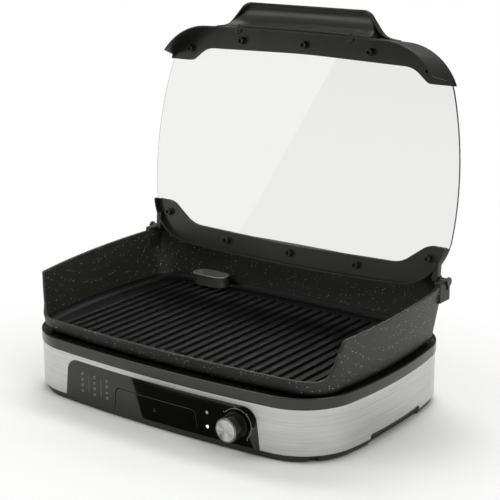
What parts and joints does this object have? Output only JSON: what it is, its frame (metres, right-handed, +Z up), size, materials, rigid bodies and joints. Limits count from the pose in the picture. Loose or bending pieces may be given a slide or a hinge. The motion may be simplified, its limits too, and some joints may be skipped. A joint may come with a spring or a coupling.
{
  "type": "electric grill",
  "caption": "Table-top electric grill with a clear hinged lid, a ribbed lift-off plate with a drain, a slide-out drip tray and a turning heat knob.",
  "frame": {"origin": "middle of the whole grill's box, on the table under the feet, with the lid open", "axes": "+X to the user's right, +Y to the back, +Z up"},
  "size_m": [0.4922, 0.353, 0.486],
  "materials": {
    "base_plastic": "satin moulded black",
    "tray_plastic": "satin moulded black",
    "band_steel": "brushed along the band",
    "collar_plastic": "satin olive black",
    "panel_gloss": "piano gloss black",
    "drawer_gloss": "piano gloss black",
    "knob_gloss": "gloss black",
    "cap_aluminium": "spun face",
    "plated_steel": "zinc plated",
    "thermostat_resin": "moulded resin",
    "light_pipe": "clear moulded",
    "circuit_board": "green board",
    "inlet_brass": "plain",
    "reflector_aluminium": "bright sheet",
    "element_sheath": "dark heat-stained sheath",
    "terminal_ceramic": "unglazed ceramic",
    "foot_rubber": "plain",
    "plate_coating": "dark speckled non-stick coating",
    "rail_plastic": "satin olive black",
    "handle_plastic": "satin olive black",
    "strip_plastic": "satin olive black",
    "lid_glass": "clear, faint grey",
    "lid_screw_steel": "blackened",
    "pin_steel": "polished steel",
    "cup_steel": "polished steel"
  },
  "bodies": {
    "base": {"base_pan": "base_plastic", "steel_band": "band_steel", "rim_collar": "collar_plastic", "control_panel": "panel_gloss", "thermostat": "thermostat_resin", "indicator_pipes": "light_pipe", "indicator_board": "circuit_board", "reflector": "reflector_aluminium", "heating_element": "element_sheath", "element_strips": "plated_steel", "terminal_block": "terminal_ceramic", "thermal_cutout": "plated_steel", "mains_inlet": "base_plastic", "inlet_pins": "inlet_brass", "collar_screws": "plated_steel", "reflector_screws": "plated_steel", "rubber_feet": "foot_rubber"},
    "drawer": {"drawer_front": "drawer_gloss", "drip_tray": "tray_plastic"},
    "knob": {"knob_body": "knob_gloss", "knob_cap": "cap_aluminium", "knob_shaft": "plated_steel"},
    "plate": {"grill_plate": "plate_coating"},
    "lid": {"front_rail": "rail_plastic", "rear_rail": "rail_plastic", "lid_glass": "lid_glass", "front_clamp_strip": "strip_plastic", "rear_clamp_strip": "strip_plastic", "lid_handle": "handle_plastic", "rail_screws": "lid_screw_steel", "handle_screws": "lid_screw_steel", "hinge_pin_left": "pin_steel", "hinge_pin_right": "pin_steel"},
    "cup": {"chip_cup": "cup_steel"}
  },
  "joints": [
    {"name": "plate_lift", "type": "slide", "parent": "base", "child": "plate", "axis": [0, 0, 1], "range_m": [0, 0.12]},
    {"name": "lid_hinge", "type": "hinge", "parent": "plate", "child": "lid", "pos_m": [0, 0.13192, 0.1593], "axis": [1, 0, 0], "range_deg": [0, 99.1]},
    {"name": "cup_lift", "type": "slide", "parent": "plate", "child": "cup", "axis": [0, 0, 1], "range_m": [0, 0.03]},
    {"name": "drawer_slide", "type": "slide", "parent": "base", "child": "drawer", "axis": [0, -1, 0], "range_m": [0, 0.15]},
    {"name": "knob_turn", "type": "hinge", "parent": "base", "child": "knob", "pos_m": [0.1218, -0.165, 0.0352], "axis": [0, 1, 0], "range_deg": [0, 230]}
  ]
}
